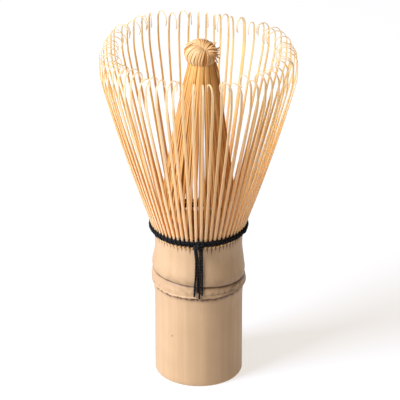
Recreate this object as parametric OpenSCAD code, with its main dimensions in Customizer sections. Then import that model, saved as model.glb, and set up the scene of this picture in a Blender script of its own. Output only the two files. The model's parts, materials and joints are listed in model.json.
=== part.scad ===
// Bamboo tea whisk (chasen). One length of bamboo culm is the handle. Its upper
// wall is split into strips: every other strip leans out as an outer tine, and
// the strips between them lean in as inner tines, whose tips are twisted into a
// knot. A black thread, woven between the two rows, holds them apart.
// Millimetres, +Z up, origin at the centre of the foot.

/* [Handle] */
// Outside diameter of the handle
handle_d = 26; // [21:0.5:32]
// Wall of the hollow culm below the node
handle_wall = 4; // [2.5:0.25:4.5]
// Height of the plain grip, from the foot to the sheath scar
grip_h = 29; // [22:1:40]
// Chamfer on the foot's outer edge
foot_chamfer = 0.4; // [0:0.1:1]
// Height from the sheath scar to the split rim
collar_h = 16.7; // [15:0.1:24]

/* [Node] */
// Height of the band between the sheath scar and the groove
band_h = 4.4; // [3:0.1:5.5]
// How far the node stands proud of the grip
node_proud = 0.7; // [0.3:0.05:1.2]
// Height of the ridge above the groove
ridge_h = 2.4; // [1.5:0.1:4]
// Depth of the groove
groove_depth = 0.2; // [0.05:0.05:0.4]
// Length of the slow swelling on each side of the node
swell_l = 5; // [3:0.5:7]
// Thickness of the diaphragm that closes the culm at the node
diaphragm_t = 2; // [1:0.25:3]

/* [Splitting] */
// Primary splits of the culm
segments = 16; // [12:1:18]
// Outer tines in each primary split, and as many inner ones
tines_per_segment = 4; // [3:1:4]
// Share of a split's width that goes to the outer tine
outer_share = 0.61; // [0.5:0.01:0.68]
// Knife cut left between two strips
kerf = 0.03; // [0.02:0.005:0.06]
// Thickness of an outer tine at its root
root_t = 1; // [0.7:0.05:1.2]

/* [Outer tines] */
// Lean of the outer tines at the rim, from upright
flare = 20; // [12:0.5:26]
// Lean at the top of the long blade
top_lean = 15; // [6:0.5:20]
// Length of the long blade, from the split rim
blade_l = 50; // [38:0.5:62]
// Radius of the bend that brings a tine upright
bend_r = 20; // [12:1:50]
// Upright length between the bend and the curled tip
upright_l = 2.5; // [0:0.1:5]
// Radius of the curled tip
hook_r = 3.1; // [1.8:0.1:3.8]
// Turn of the curled tip
hook_turn = 212; // [120:1:240]
// Thickness at the tip
tip_t = 0.25; // [0.15:0.05:0.5]

/* [Inner tines] */
// Height of the inner bundle, from the thread to the knot
bundle_h = 51; // [40:0.5:62]
// Diameter of the bundle where it enters the knot
neck_d = 7.8; // [7:0.1:10]
// Thickness of an inner tine
inner_t = 0.4; // [0.3:0.05:0.6]
// Share of the bundle's taper that is straight; the rest swells it
bundle_straight = 0.55; // [0.4:0.05:1]

/* [Tip knot] */
// Diameter of the knot of twisted tips
knot_d = 9.2; // [8.4:0.1:12]
// Height of the knot
knot_h = 8; // [6:0.1:10]
// Width of the cleft that the tips are tucked into
cleft_w = 0.5; // [0.3:0.1:1]

/* [Thread] */
// Diameter of the thread
thread_d = 0.7; // [0.5:0.05:0.9]
// Height of the weave's middle above the split rim
thread_rise = 2.2; // [1.9:0.1:3]
// Clearance between the thread and the tines
thread_gap = 0.04; // [0.02:0.01:0.08]
// Length of the loose thread ends
tail_l = 16.5; // [12:0.5:18]

/* [Motion] */
// Gap between an outer tine's fixed root and its bending blade
flex_gap = 0.15; // [0.12:0.01:0.3]

/* [Hidden] */

straw = [0.93, 0.8, 0.58];
cut_bamboo = [0.9, 0.7, 0.42];
pith = [0.95, 0.88, 0.72];
black_thread = [0.08, 0.07, 0.07];

handle_r = handle_d / 2;
bore_r = handle_r - handle_wall;
node_bore_r = bore_r - node_proud;
node_r = handle_r + node_proud;
groove_z = grip_h + band_h;
rim_z = grip_h + collar_h;
diaphragm_z = grip_h + band_h / 2 - diaphragm_t / 2;
facets = 96;

// The rim that the strips stand on.
rim_r = culm_r(rim_z);
strip_t = root_t / cos(flare);
tines = segments * tines_per_segment;
pitch_deg = 360 / tines;
root_pitch = 2 * PI * (rim_r - strip_t) / tines;
outer_w = root_pitch * outer_share - kerf;
inner_w = root_pitch * (1 - outer_share) - kerf;

// The outer tines' skin: a long blade, a bend, an upright stretch and the curled tip.
rim_point = [rim_r, rim_z, flare];
blade_r = blade_l / max(0.5, flare - top_lean) * 180 / PI;
bend_l = bend_r * PI * top_lean / 180;
hook_l = hook_r * PI * hook_turn / 180;
upright_s = blade_l + bend_l;
hook_s = upright_s + upright_l;
tine_l = hook_s + hook_l;
blade_end = curve_on(rim_point, blade_r, blade_l);
upright_end = curve_on(blade_end, bend_r, bend_l) + [0, upright_l, 0];

// Where the thread crosses the tines.
weave_z = rim_z + thread_rise;
course_z = [weave_z - thread_d / 2, weave_z + thread_d / 2 + thread_gap];
hinge_s = (thread_rise + 1.5 * thread_d) / cos(flare);
thread_lift = (thread_d / 2 + thread_gap) / cos(flare);

// The inner bundle starts inside the thread's inner course.
neck_z = weave_z + bundle_h;
neck_r = neck_d / 2;
inner_course_r = outer_face(weave_z) - strip_t - thread_gap - thread_d / 2;
bundle_r = inner_course_r - thread_d / 2 - thread_gap;
bundle_z = weave_z - thread_d / 2;
neck_w = 2 * PI * (neck_r - inner_t) / tines - kerf;

// Thread ends: side steps from the middle at the knot, the gather and the cut end, in thread
// diameters, and the share of the full length.
tail_steps = [[-1.45, -1.05, -1.8], [-0.47, -0.07, -0.65], [0.51, 0.91, 0.45], [1.49, 1.89, 1.5]];
tail_share = [1, 0.93, 1.04, 0.98];
tail_rings = 16;
tail_sides = 8;

function two_digits(k) = str(k < 10 ? "0" : "", k);
function mix(a, b, t) = a + (b - a) * t;
function ease(t) = let (c = max(0, min(1, t))) c * c * (3 - 2 * c);

// Outside radius of the culm at a height: a slow swelling to the node, a sharper step at the scar
// and a rounded groove.
function culm_r(z) =
    let (
        swell = ease((z - grip_h + swell_l) / swell_l) * 0.6 + ease((z - grip_h) / 1.2) * 0.4,
        fall = 1 - ease((z - groove_z - ridge_h) / swell_l),
        groove = max(0, 1 - pow((z - groove_z) / 0.9, 2))
    )
    handle_r + node_proud * swell * fall - groove_depth * groove;

// A point further along a curve: p is [radius, height, lean], and the lean falls with the length.
function curve_on(p, radius, l) =
    let (a = p[2] - l / radius * 180 / PI)
    [p[0] + radius * (cos(a) - cos(p[2])), p[1] + radius * (sin(p[2]) - sin(a)), a];

// Outer skin of an outer tine at a distance along it from the rim.
function skin(s) =
    s <= blade_l ? curve_on(rim_point, blade_r, s)
    : s < upright_s ? curve_on(blade_end, bend_r, s - blade_l)
    : s < hook_s ? upright_end - [0, hook_s - s, 0]
    : curve_on(upright_end, hook_r, s - hook_s);

// A point of the tine at a depth below its skin. The tine is shaved thinner towards the tip.
function tine_t(s) = mix(root_t, tip_t, min(1, s / hook_s));
function under_skin(s, depth) =
    let (p = skin(s)) [p[0] - depth * cos(p[2]), p[1] + depth * sin(p[2])];

// Radius of the outer skin near the rim, at a height.
function outer_face(z) =
    let (a = asin(sin(flare) - (z - rim_z) / blade_r))
    rim_r + blade_r * (cos(a) - cos(flare));

// Outer face of the inner bundle at a height.
function bundle_face(z) =
    z <= bundle_z ? mix(rim_r, bundle_r, (z - rim_z) / (bundle_z - rim_z))
    : let (u = (z - bundle_z) / (neck_z - bundle_z))
        neck_r + (bundle_r - neck_r) * (1 - bundle_straight * u - (1 - bundle_straight) * u * u);

// Turns what is drawn in the radius-height plane, centred on its width, to stand at an angle.
module stand(angle, width)
    rotate([0, 0, angle]) rotate([90, 0, 0]) translate([0, 0, -width / 2])
        linear_extrude(width) children();

function outer_angle(k) = (k + 0.5) * pitch_deg;
function inner_angle(k) = k * pitch_deg;

module culm() {
    profile_step = 0.45;
    node_low = grip_h - swell_l;
    node_high = groove_z + ridge_h + swell_l;
    outside = concat(
        [[handle_r - foot_chamfer, 0], [handle_r, foot_chamfer]],
        [for (z = [node_low:profile_step:node_high]) [culm_r(z), z]],
        [[rim_r, rim_z]]
    );
    inside = [
        [rim_r - strip_t, rim_z], [node_bore_r, groove_z + ridge_h], [node_bore_r, diaphragm_z],
        [bore_r, diaphragm_z], [bore_r, 0]
    ];
    color(straw) rotate_extrude($fn = facets) polygon(concat(outside, inside));
}

module node_diaphragm()
    color(pith) translate([0, 0, diaphragm_z]) cylinder(h = diaphragm_t, r = node_bore_r, $fn = facets);

// Fixed roots of the outer tines, from the rim up through the weave.
module outer_tine_roots()
    color(cut_bamboo) for (k = [0:tines - 1]) stand(outer_angle(k), outer_w)
        polygon([
            [rim_r, rim_z], under_skin(hinge_s, 0), under_skin(hinge_s, root_t),
            [rim_r - strip_t, rim_z]
        ]);

// The bending blade of one outer tine, from just above the weave to its curled tip.
module outer_blade() {
    blade_steps = 5;
    bend_steps = 3;
    hook_steps = 12;
    low_s = hinge_s + flex_gap;
    stations = concat(
        [for (i = [0:blade_steps]) mix(low_s, blade_l, i / blade_steps)],
        [for (i = [1:bend_steps]) blade_l + bend_l * i / bend_steps],
        [for (i = [0:hook_steps]) hook_s + hook_l * i / hook_steps]
    );
    polygon(concat(
        [for (s = stations) under_skin(s, 0)],
        [for (i = [len(stations) - 1:-1:0]) under_skin(stations[i], tine_t(stations[i]))]
    ));
}

module outer_tines(segment)
    color(cut_bamboo) for (i = [0:tines_per_segment - 1])
        stand(outer_angle(segment * tines_per_segment + i), outer_w) outer_blade();

// One inner tine, from the rim to the knot, narrowing as the bundle closes up.
module inner_tine() {
    steps = 10;
    heights = concat([rim_z], [for (i = [0:steps]) mix(bundle_z, neck_z, i / steps)]);
    intersection() {
        stand(0, inner_w) polygon(concat(
            [for (z = heights) [bundle_face(z), z]],
            [for (i = [len(heights) - 1:-1:0])
                [bundle_face(heights[i]) - (i == 0 ? strip_t : inner_t), heights[i]]]
        ));
        rotate([90, 0, 90]) linear_extrude(2 * handle_r) polygon([
            [-inner_w / 2, rim_z], [inner_w / 2, rim_z], [inner_w / 2, bundle_z],
            [neck_w / 2, neck_z], [-neck_w / 2, neck_z], [-inner_w / 2, bundle_z]
        ]);
    }
}

module inner_tines(segment)
    color(cut_bamboo) for (i = [0:tines_per_segment - 1])
        rotate([0, 0, inner_angle(segment * tines_per_segment + i)]) inner_tine();

// Ball of twisted tips: a flat seat on the bundle, a round body and the cleft across its top.
module tip_knot() {
    arc_steps = 16;
    ball_r = knot_d / 2;
    seat_deg = asin(min(1, neck_r / ball_r));
    rise = knot_h / (1 + cos(seat_deg));
    color(cut_bamboo) translate([0, 0, neck_z]) difference() {
        rotate_extrude($fn = facets) polygon(concat(
            [[0, 0]],
            [for (i = [0:arc_steps])
                let (a = mix(seat_deg - 180, 0, i / arc_steps))
                [i == arc_steps ? 0 : -ball_r * sin(a), rise * (cos(seat_deg) + cos(a))]]
        ));
        translate([0, 0, knot_h]) rotate([0, 35, 25])
            cube([knot_d, cleft_w, knot_h / 2], center = true);
    }
}

module ring(r, z)
    translate([0, 0, z]) rotate_extrude($fn = 64) translate([r, 0]) circle(d = thread_d, $fn = 16);

// Two courses outside the outer tines, one inside them, and a crossing in each gap between tines.
module thread_weave() {
    crossing_d = min(thread_d, 2 * PI * (inner_course_r + thread_d / 2) / tines - outer_w - 2 * thread_gap);
    outer_r = [for (z = course_z) outer_face(z) + thread_lift];
    color(black_thread) {
        ring(outer_r[0], course_z[0]);
        ring(outer_r[1], course_z[1]);
        ring(inner_course_r, weave_z);
        for (k = [0:tines - 1]) rotate([0, 90, inner_angle(k)])
            translate([-weave_z, 0, inner_course_r])
                cylinder(h = outer_r[0] - inner_course_r, d = crossing_d, $fn = 16);
    }
}

weave_edge = outer_face(course_z[1]) + thread_lift + thread_d / 2;
knot_reach = 1.6 * thread_d;
wraps_h = 3.6 * thread_d;
knot_low = weave_z - wraps_h * 0.6;
knot_r = weave_edge + thread_gap + knot_reach;

// The tied knot: a barrel of two wraps on the front of the weave.
module thread_knot()
    color(black_thread) translate([0, -knot_r, knot_low])
        rotate_extrude($fn = 32) polygon([
            for (p = [[0, 0], [0.7, 0], [1, 0.23], [0.85, 0.5], [1, 0.77], [0.7, 1], [0, 1]])
                [p[0] * knot_reach, p[1] * wraps_h]
        ]);

// A loose thread end lies down the collar and over the node.
function tail_point(tail, t) =
    let (
        z = knot_low - thread_gap - tail_l * tail_share[tail] * t,
        steps = tail_steps[tail],
        gathered = mix(steps[0], steps[1], ease(t / 0.4)),
        side = thread_d * mix(gathered, steps[2], ease((t - 0.4) / 0.6)),
        depth = mix(knot_r, node_r, ease(t * 3)) + thread_d / 2 + thread_gap
    )
    [side, -sqrt(depth * depth - side * side), z];

// Sweeps an upright round section along a thread end.
module thread_tail(tail) {
    rings = [for (i = [0:tail_rings]) tail_point(tail, i / tail_rings)];
    points = [for (p = rings) for (j = [0:tail_sides - 1])
        let (a = 360 * j / tail_sides) p + [cos(a), sin(a), 0] * (thread_d / 2 - thread_gap / 2)];
    last = tail_rings * tail_sides;
    faces = concat(
        [[for (j = [0:tail_sides - 1]) j]],
        [for (i = [0:tail_rings - 1]) for (j = [0:tail_sides - 1])
            let (a = i * tail_sides, n = (j + 1) % tail_sides)
            [a + n, a + j, a + tail_sides + j, a + tail_sides + n]],
        [[for (j = [tail_sides - 1:-1:0]) last + j]]
    );
    color(black_thread) polyhedron(points, faces);
}

culm();
node_diaphragm();
outer_tine_roots();
tip_knot();
thread_weave();
thread_knot();
for (k = [1:4])
    thread_tail(k - 1);
for (k = [1:segments]) {
    outer_tines(k - 1);
    inner_tines(k - 1);
}
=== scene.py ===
"""Looks of a bamboo tea whisk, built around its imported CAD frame.

One length of culm is the handle. Its wall is split into strips: the outer tines lean out and curl
in at their tips, the inner tines lean in and are twisted into a knot, and a black waxed thread is
woven between the two rows. Lengths in the classes are millimetres; meshes are metres.
"""

import json
import logging
import math
import random
from dataclasses import dataclass, field
from enum import Enum
from typing import ClassVar, Iterable, Sequence

import bmesh
import bpy
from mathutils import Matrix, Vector, noise
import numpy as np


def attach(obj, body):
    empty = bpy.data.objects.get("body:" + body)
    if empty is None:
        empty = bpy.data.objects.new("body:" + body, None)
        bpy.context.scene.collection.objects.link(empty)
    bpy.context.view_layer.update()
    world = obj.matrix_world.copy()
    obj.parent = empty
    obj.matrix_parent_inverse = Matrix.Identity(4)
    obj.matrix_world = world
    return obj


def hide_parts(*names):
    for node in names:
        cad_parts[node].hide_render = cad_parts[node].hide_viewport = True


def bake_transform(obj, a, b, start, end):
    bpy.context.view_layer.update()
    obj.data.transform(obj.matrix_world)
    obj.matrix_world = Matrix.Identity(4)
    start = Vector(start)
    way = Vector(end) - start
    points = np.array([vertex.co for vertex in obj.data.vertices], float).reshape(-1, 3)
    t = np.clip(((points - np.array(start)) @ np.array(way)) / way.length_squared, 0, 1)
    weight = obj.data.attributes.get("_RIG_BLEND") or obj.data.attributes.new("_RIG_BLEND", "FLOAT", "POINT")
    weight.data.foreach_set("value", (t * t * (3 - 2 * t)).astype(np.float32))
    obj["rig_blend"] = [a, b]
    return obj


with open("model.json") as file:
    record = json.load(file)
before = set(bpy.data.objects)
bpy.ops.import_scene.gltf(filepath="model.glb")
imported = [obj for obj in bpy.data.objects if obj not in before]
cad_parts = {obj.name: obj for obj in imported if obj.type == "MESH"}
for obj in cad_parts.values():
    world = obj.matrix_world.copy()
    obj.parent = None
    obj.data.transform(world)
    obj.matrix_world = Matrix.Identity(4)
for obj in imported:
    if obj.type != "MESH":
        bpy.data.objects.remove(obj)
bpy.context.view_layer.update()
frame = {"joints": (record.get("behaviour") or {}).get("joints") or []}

LOG = logging.getLogger("tea_whisk")
MM = 0.001
SPLITS = 16
PER_SPLIT = 4
TINES = SPLITS * PER_SPLIT
PITCH = 2 * math.pi / TINES
FRONT = -math.pi / 2
# Radius of a two-ply thread in the valley between its plies, as a share of its full radius.
PLY_VALLEY = 0.72
# Settings and sockets of the Mix node when it mixes colours.
COLOURS = {"data_type": "RGBA"}
MIX_A, MIX_B, MIXED = 6, 7, 2


class Slot(Enum):
    """Material slots of the record."""

    CULM_SKIN = "culm_skin"
    OUTER_BAMBOO = "outer_bamboo"
    INNER_BAMBOO = "inner_bamboo"
    PITH = "pith"
    THREAD = "thread"


class Mark(Enum):
    """Attributes painted on the meshes for the finishes to read."""

    ALONG = "along"
    SKIN = "skin"
    TONE = "tone"
    # Brown stain on the node, with painted shade under the scar's lip and on its shaded side.
    STAIN_AND_SHADE = "stain_and_shade"
    CUT = "cut"


STRIP_MARKS = (Mark.ALONG, Mark.SKIN, Mark.TONE)

# ---------------------------------------------------------------------------------------------
# Small helpers


def mix(a: float, b: float, t: float) -> float:
    """Goes from a to b as t goes from 0 to 1."""
    return a + (b - a) * t


def ease(t: float) -> float:
    """Smooth step, held at 0 below 0 and at 1 above 1."""
    c = min(1.0, max(0.0, t))
    return c * c * (3 - 2 * c)


def bump(x: float, middle: float, width: float) -> float:
    """A bell of height 1 with the given half width."""
    return math.exp(-(((x - middle) / width) ** 2))


def polar(radius: float, azimuth: float, height: float) -> Vector:
    """A point in metres from a radius and height in millimetres."""
    return Vector((radius * math.cos(azimuth), radius * math.sin(azimuth), height)) * MM


def wave(azimuth: float, height: float, grain: float, seed: float) -> float:
    """Seamless noise round the whisk, from -1 to 1.

    Args:
        azimuth: angle round the axis, in radians.
        height: height in millimetres.
        grain: how many swells a turn holds, roughly.
        seed: picks the pattern.

    Returns:
        The noise at that place.
    """
    place = Vector((math.cos(azimuth) * grain, math.sin(azimuth) * grain, height * 0.2 + seed * 7.3))
    return noise.noise(place)


def around(azimuth: float) -> tuple[Vector, Vector]:
    """Outward and sideways directions at an angle round the axis."""
    x, y = math.cos(azimuth), math.sin(azimuth)
    return Vector((x, y, 0)), Vector((-y, x, 0))


def linear(code: str) -> tuple[float, float, float, float]:
    """Turns an sRGB hex value into a linear colour.

    Args:
        code: the colour, as a # and six hex digits.

    Returns:
        Red, green and blue from 0 to 1, and an alpha of 1.
    """
    parts = [int(code[i : i + 2], 16) / 255 for i in (1, 3, 5)]
    red, green, blue = (p / 12.92 if p <= 0.04045 else ((p + 0.055) / 1.055) ** 2.4 for p in parts)
    return (red, green, blue, 1.0)


def add(
    tree: bpy.types.NodeTree,
    kind: str,
    settings: dict[str, object] | None = None,
    values: dict[int | str, object] | None = None,
    links: dict[int | str, bpy.types.NodeSocket] | None = None,
) -> bpy.types.Node:
    """Adds one shader node.

    Args:
        tree: the material's node tree.
        kind: the node's type name, without "ShaderNode".
        settings: properties of the node.
        values: numbers and colours of its inputs.
        links: sockets that feed its inputs.

    Returns:
        The new node.
    """
    made = tree.nodes.new("ShaderNode" + kind)
    for name, value in (settings or {}).items():
        setattr(made, name, value)
    for key, value in (values or {}).items():
        made.inputs[key].default_value = value
    for key, socket in (links or {}).items():
        tree.links.new(socket, made.inputs[key])
    return made


def start_finish(name: str) -> tuple[bpy.types.Material, bpy.types.NodeTree, bpy.types.NodeSocket]:
    """Starts an empty node-based finish.

    Args:
        name: the finish's name.

    Returns:
        The material, its node tree, and a socket with object coordinates.
    """
    made = bpy.data.materials.new(name)
    made.use_nodes = True
    made.node_tree.nodes.clear()
    return made, made.node_tree, add(made.node_tree, "TexCoord").outputs["Object"]


# ---------------------------------------------------------------------------------------------
# Sweeps and pieces


@dataclass
class Ring:
    """One cross-section of a swept strip or thread, with what is painted on it."""

    points: list[Vector]
    along: float
    skin: list[float]
    tone: float


def sweep(bm: bmesh.types.BMesh, rings: Sequence[Ring]) -> None:
    """Extrudes a closed section through every ring, with a cap at both ends.

    Args:
        bm: the mesh that the strip is added to.
        rings: its sections, in order, all with the same number of points.
    """
    strip = start_mesh(STRIP_MARKS)
    corner = strip.verts.layers.int.new("corner")
    count = len(rings[0].points)
    for i in range(count):
        turn = 2 * math.pi * i / count
        strip.verts.new((math.cos(turn), math.sin(turn), 0))[corner] = i
    face = strip.faces.new(strip.verts)
    # One call draws the section out a unit a step, and then each corner goes to its place.
    bmesh.ops.spin(
        strip, geom=[face], cent=(0, 0, 0), axis=(0, 0, 1), dvec=(0, 0, 1), angle=0.0,
        steps=len(rings) - 1, use_merge=False,
    )
    along, skin, tone = (strip.verts.layers.float[m.value] for m in STRIP_MARKS)
    for vert in strip.verts:
        ring, i = rings[round(vert.co.z)], vert[corner]
        vert.co = ring.points[i]
        vert[along], vert[skin], vert[tone] = ring.along, ring.skin[i], ring.tone
    strip.verts.layers.int.remove(corner)
    bmesh.ops.recalc_face_normals(strip, faces=strip.faces[:])
    mesh = bpy.data.meshes.new("strip")
    strip.to_mesh(mesh)
    strip.free()
    bm.from_mesh(mesh)
    bpy.data.meshes.remove(mesh)


def start_mesh(marks: Iterable[Mark]) -> bmesh.types.BMesh:
    """Starts an empty mesh with room for the painted attributes.

    Args:
        marks: the attributes, each one number a vertex.

    Returns:
        The empty mesh.
    """
    bm = bmesh.new()
    for mark in marks:
        bm.verts.layers.float.new(mark.value)
    return bm


def make_piece(name: str, bm: bmesh.types.BMesh, sharp: float = 40.0) -> bpy.types.Object:
    """Turns a finished bmesh into an object at the origin.

    Args:
        name: the piece's name.
        bm: its mesh, which is freed.
        sharp: edges that turn more than this many degrees stay crisp.

    Returns:
        The object, linked to the scene.
    """
    bmesh.ops.recalc_face_normals(bm, faces=bm.faces[:])
    mesh = bpy.data.meshes.new(name)
    bm.to_mesh(mesh)
    bm.free()
    mesh.shade_smooth()
    mesh.set_sharp_from_angle(angle=math.radians(sharp))
    made = bpy.data.objects.new(name, mesh)
    bpy.context.scene.collection.objects.link(made)
    return made


def strip_ring(
    middle: Vector, out: Vector, side: Vector, width: float, thick: float, along: float, tone: float,
    round_top: float = 0.1,
) -> Ring:
    """Section of a split strip: slightly domed skin, small arrises and a narrower knife-cut back.

    Args:
        middle: middle of the skin, in metres.
        out: direction that the skin faces.
        side: direction across the strip.
        width: width at the skin, in millimetres.
        thick: thickness, in millimetres.
        along: distance from the root, in millimetres.
        tone: tone of the strip, from 0 to 1.
        round_top: how far the skin's edges drop, as a share of the thickness.

    Returns:
        The section, skin points first.
    """
    half, dome, arris, back = width / 2, thick * round_top, min(thick, width) * 0.12, width * 0.43
    # Each corner is (across, out, how much skin it shows).
    spots = [
        (-half + arris, -dome * 0.4, 1.0), (0.0, 0.0, 1.0), (half - arris, -dome * 0.4, 1.0),
        (half, -dome - arris, 0.15), (back, -thick, 0.0), (-back, -thick, 0.0),
        (-half, -dome - arris, 0.15),
    ]
    points = [middle + (side * x + out * y) * MM for x, y, _ in spots]
    return Ring(points, along, [skin for _, _, skin in spots], tone)


def thread_rings(
    path: Sequence[Vector], diameter: float, sides: int = 8, lay: float = 1.9
) -> list[Ring]:
    """Sections of a two-ply thread that follows a path.

    Args:
        path: its middle line, in metres.
        diameter: thread diameter in millimetres.
        sides: points round the section.
        lay: length of one turn of the twist, in millimetres.

    Returns:
        One section for each point of the path.
    """
    rings: list[Ring] = []
    along = 0.0
    across: Vector | None = None
    for place, point in enumerate(path):
        before, after = path[max(0, place - 1)], path[min(len(path) - 1, place + 1)]
        ahead = (after - before).normalized()
        if across is None:
            across = ahead.orthogonal().normalized()
        across = (across - ahead * across.dot(ahead)).normalized()
        other = ahead.cross(across)
        if place:
            along += (point - path[place - 1]).length / MM
        turn = 2 * math.pi * along / lay
        points, plies = [], []
        for i in range(sides):
            a = 2 * math.pi * i / sides
            lobe = abs(math.cos(a))
            r = diameter / 2 * mix(PLY_VALLEY, 1.0, lobe) * MM
            points.append(point + (across * math.cos(a + turn) + other * math.sin(a + turn)) * r)
            plies.append(lobe)
        rings.append(Ring(points, along, plies, tone=0.5))
    return rings


# ---------------------------------------------------------------------------------------------
# Finishes


@dataclass(frozen=True)
class CulmSkin:
    """Dried madake bamboo with its waxy skin wiped off.

    It is cut, dried and rubbed, so the skin is a soft satin, with fine upright fibres, faint blotches,
    small dark specks, and brown stain left in the node's groove and along the sheath scar. The same
    brown also paints shade under the scar's lip and on the node's side away from the light.
    """

    name: str = "dried_bamboo_skin"
    pale: str = "#C09A71"
    straw: str = "#AF8B62"
    # Brown of the node's stains, also used for the painted shade on the node.
    stain_and_shade: str = "#5A3A1E"
    speck: str = "#5C3A20"
    cut_face: str = "#DDBC88"
    end_grain: str = "#B98A52"
    slit: str = "#6A3F1C"
    slit_top_mm: float = 46.4
    slit_low_mm: float = 43.2
    slit_spread_mm: float = 1.5
    roughness: float = 0.48
    fibre_mm: float = 0.35
    fibre_length: float = 60.0
    band_width: float = 7.0
    band_length: float = 260.0
    blotch_mm: float = 9.0
    speck_gap_mm: float = 5.0
    bundle_mm: float = 0.5
    relief_mm: float = 0.03

    def build(self) -> bpy.types.Material:
        """Makes the material.

        Returns:
            The material, which reads the stain with its painted shade, and the cut, painted on the mesh.
        """
        made, tree, place = start_finish(self.name)
        # Bands and the length of a fibre are counted in widths of a fibre.
        fibre_scale = 1 / (self.fibre_mm * MM)
        stretched = add(
            tree, "Mapping",
            values={"Scale": (fibre_scale, fibre_scale, fibre_scale / self.fibre_length)},
            links={"Vector": place},
        ).outputs[0]
        fibres = add(
            tree, "TexNoise", values={"Scale": 1.0, "Detail": 3.0, "Roughness": 0.6},
            links={"Vector": stretched},
        ).outputs["Fac"]
        band_scale = fibre_scale / self.band_width
        stretched_more = add(
            tree, "Mapping",
            values={"Scale": (band_scale, band_scale, fibre_scale / self.band_length)},
            links={"Vector": place},
        ).outputs[0]
        bands = add(
            tree, "TexNoise", values={"Scale": 1.0, "Detail": 2.0}, links={"Vector": stretched_more}
        ).outputs["Fac"]
        blotches = add(
            tree, "TexNoise", values={"Scale": 1 / (self.blotch_mm * MM), "Detail": 3.0},
            links={"Vector": place},
        ).outputs["Fac"]
        share = add(
            tree, "Math", {"operation": "MULTIPLY_ADD"}, {1: 0.45, 2: -0.1}, {0: fibres}
        ).outputs[0]
        share = add(
            tree, "Math", {"operation": "MULTIPLY_ADD"}, {1: 0.7}, {0: bands, 2: share}
        ).outputs[0]
        share = add(
            tree, "Math", {"operation": "MULTIPLY_ADD", "use_clamp": True}, {1: 0.5},
            {0: blotches, 2: share},
        ).outputs[0]
        ramp = add(
            tree, "MapRange", {"clamp": True}, {"From Min": 0.45, "From Max": 1.0}, {"Value": share}
        ).outputs[0]
        body = add(
            tree, "Mix", COLOURS, {MIX_A: linear(self.pale), MIX_B: linear(self.straw)}, {0: ramp}
        ).outputs[MIXED]
        dot = self.build_specks(tree, place)
        body = add(
            tree, "Mix", COLOURS, {MIX_B: linear(self.speck)}, {0: dot, MIX_A: body}
        ).outputs[MIXED]
        # Brown stain of the node, which also paints shade under the scar's lip and on the node's shaded
        # side.
        stain_and_shade = add(tree, "Attribute", {"attribute_name": Mark.STAIN_AND_SHADE.value}).outputs["Fac"]
        body = add(
            tree, "Mix", COLOURS, {MIX_B: linear(self.stain_and_shade)}, {0: stain_and_shade, MIX_A: body}
        ).outputs[MIXED]
        cut = add(tree, "Attribute", {"attribute_name": Mark.CUT.value}).outputs["Fac"]
        # End grain: the fibre bundles of the culm wall are dark dots half a millimetre apart.
        grain = add(
            tree, "TexVoronoi", values={"Scale": 1 / (self.bundle_mm * MM)}, links={"Vector": place}
        )
        bundle = add(
            tree, "Mix", COLOURS, {MIX_A: linear(self.end_grain), MIX_B: linear(self.cut_face)},
            {0: grain.outputs["Distance"]},
        ).outputs[MIXED]
        body = add(tree, "Mix", COLOURS, None, {0: cut, MIX_A: body, MIX_B: bundle}).outputs[MIXED]
        slit = self.build_slits(tree, place)
        body = add(
            tree, "Mix", COLOURS, {MIX_B: linear(self.slit)}, {0: slit, MIX_A: body}
        ).outputs[MIXED]
        height = add(
            tree, "Math", {"operation": "MULTIPLY_ADD"}, {1: 0.6}, {0: fibres, 2: dot}
        ).outputs[0]
        relief = add(
            tree, "Bump", None, {"Strength": 0.25, "Distance": self.relief_mm * MM}, {"Height": height}
        ).outputs[0]
        gloss = add(
            tree, "MapRange", None,
            {
                "From Min": 0.3, "From Max": 0.7,
                "To Min": self.roughness - 0.06, "To Max": self.roughness + 0.12,
            },
            {"Value": fibres},
        ).outputs[0]
        shader = add(
            tree, "BsdfPrincipled", None, {"IOR": 1.5, "Coat Weight": 0.06, "Coat Roughness": 0.4},
            {"Base Color": body, "Roughness": gloss, "Normal": relief},
        ).outputs[0]
        add(tree, "OutputMaterial", None, None, {0: shader})
        return made

    def build_specks(self, tree: bpy.types.NodeTree, place: bpy.types.NodeSocket) -> bpy.types.NodeSocket:
        """Makes the mask of the specks, which are half a millimetre across.

        Args:
            tree: the material's node tree.
            place: object coordinates.

        Returns:
            A socket that is up to 0.8 in a speck and 0 elsewhere.
        """
        cells = add(
            tree, "TexVoronoi", values={"Scale": 1 / (self.speck_gap_mm * MM)}, links={"Vector": place}
        )
        dot = add(
            tree, "MapRange", {"clamp": True},
            {"From Min": 0.035, "From Max": 0.075, "To Min": 1.0, "To Max": 0.0},
            {"Value": cells.outputs["Distance"]},
        ).outputs[0]
        # About a quarter of the cells hold a speck.
        chosen = add(
            tree, "MapRange", {"clamp": True}, {"From Min": 0.68, "From Max": 0.7, "To Max": 0.8},
            {"Value": cells.outputs["Color"]},
        ).outputs[0]
        return add(tree, "Math", {"operation": "MULTIPLY"}, None, {0: dot, 1: chosen}).outputs[0]

    def build_slits(self, tree: bpy.types.NodeTree, place: bpy.types.NodeSocket) -> bpy.types.NodeSocket:
        """Makes the mask of the knife slits, which run on a little way below the split rim.

        Args:
            tree: the material's node tree.
            place: object coordinates.

        Returns:
            A socket that is 1 in a slit and 0 elsewhere.
        """
        parts = add(tree, "SeparateXYZ", None, None, {0: place}).outputs
        angle = add(
            tree, "Math", {"operation": "ARCTAN2"}, None, {0: parts["Y"], 1: parts["X"]}
        ).outputs[0]
        turns = add(tree, "Math", {"operation": "MULTIPLY"}, {1: 1 / PITCH}, {0: angle}).outputs[0]
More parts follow.
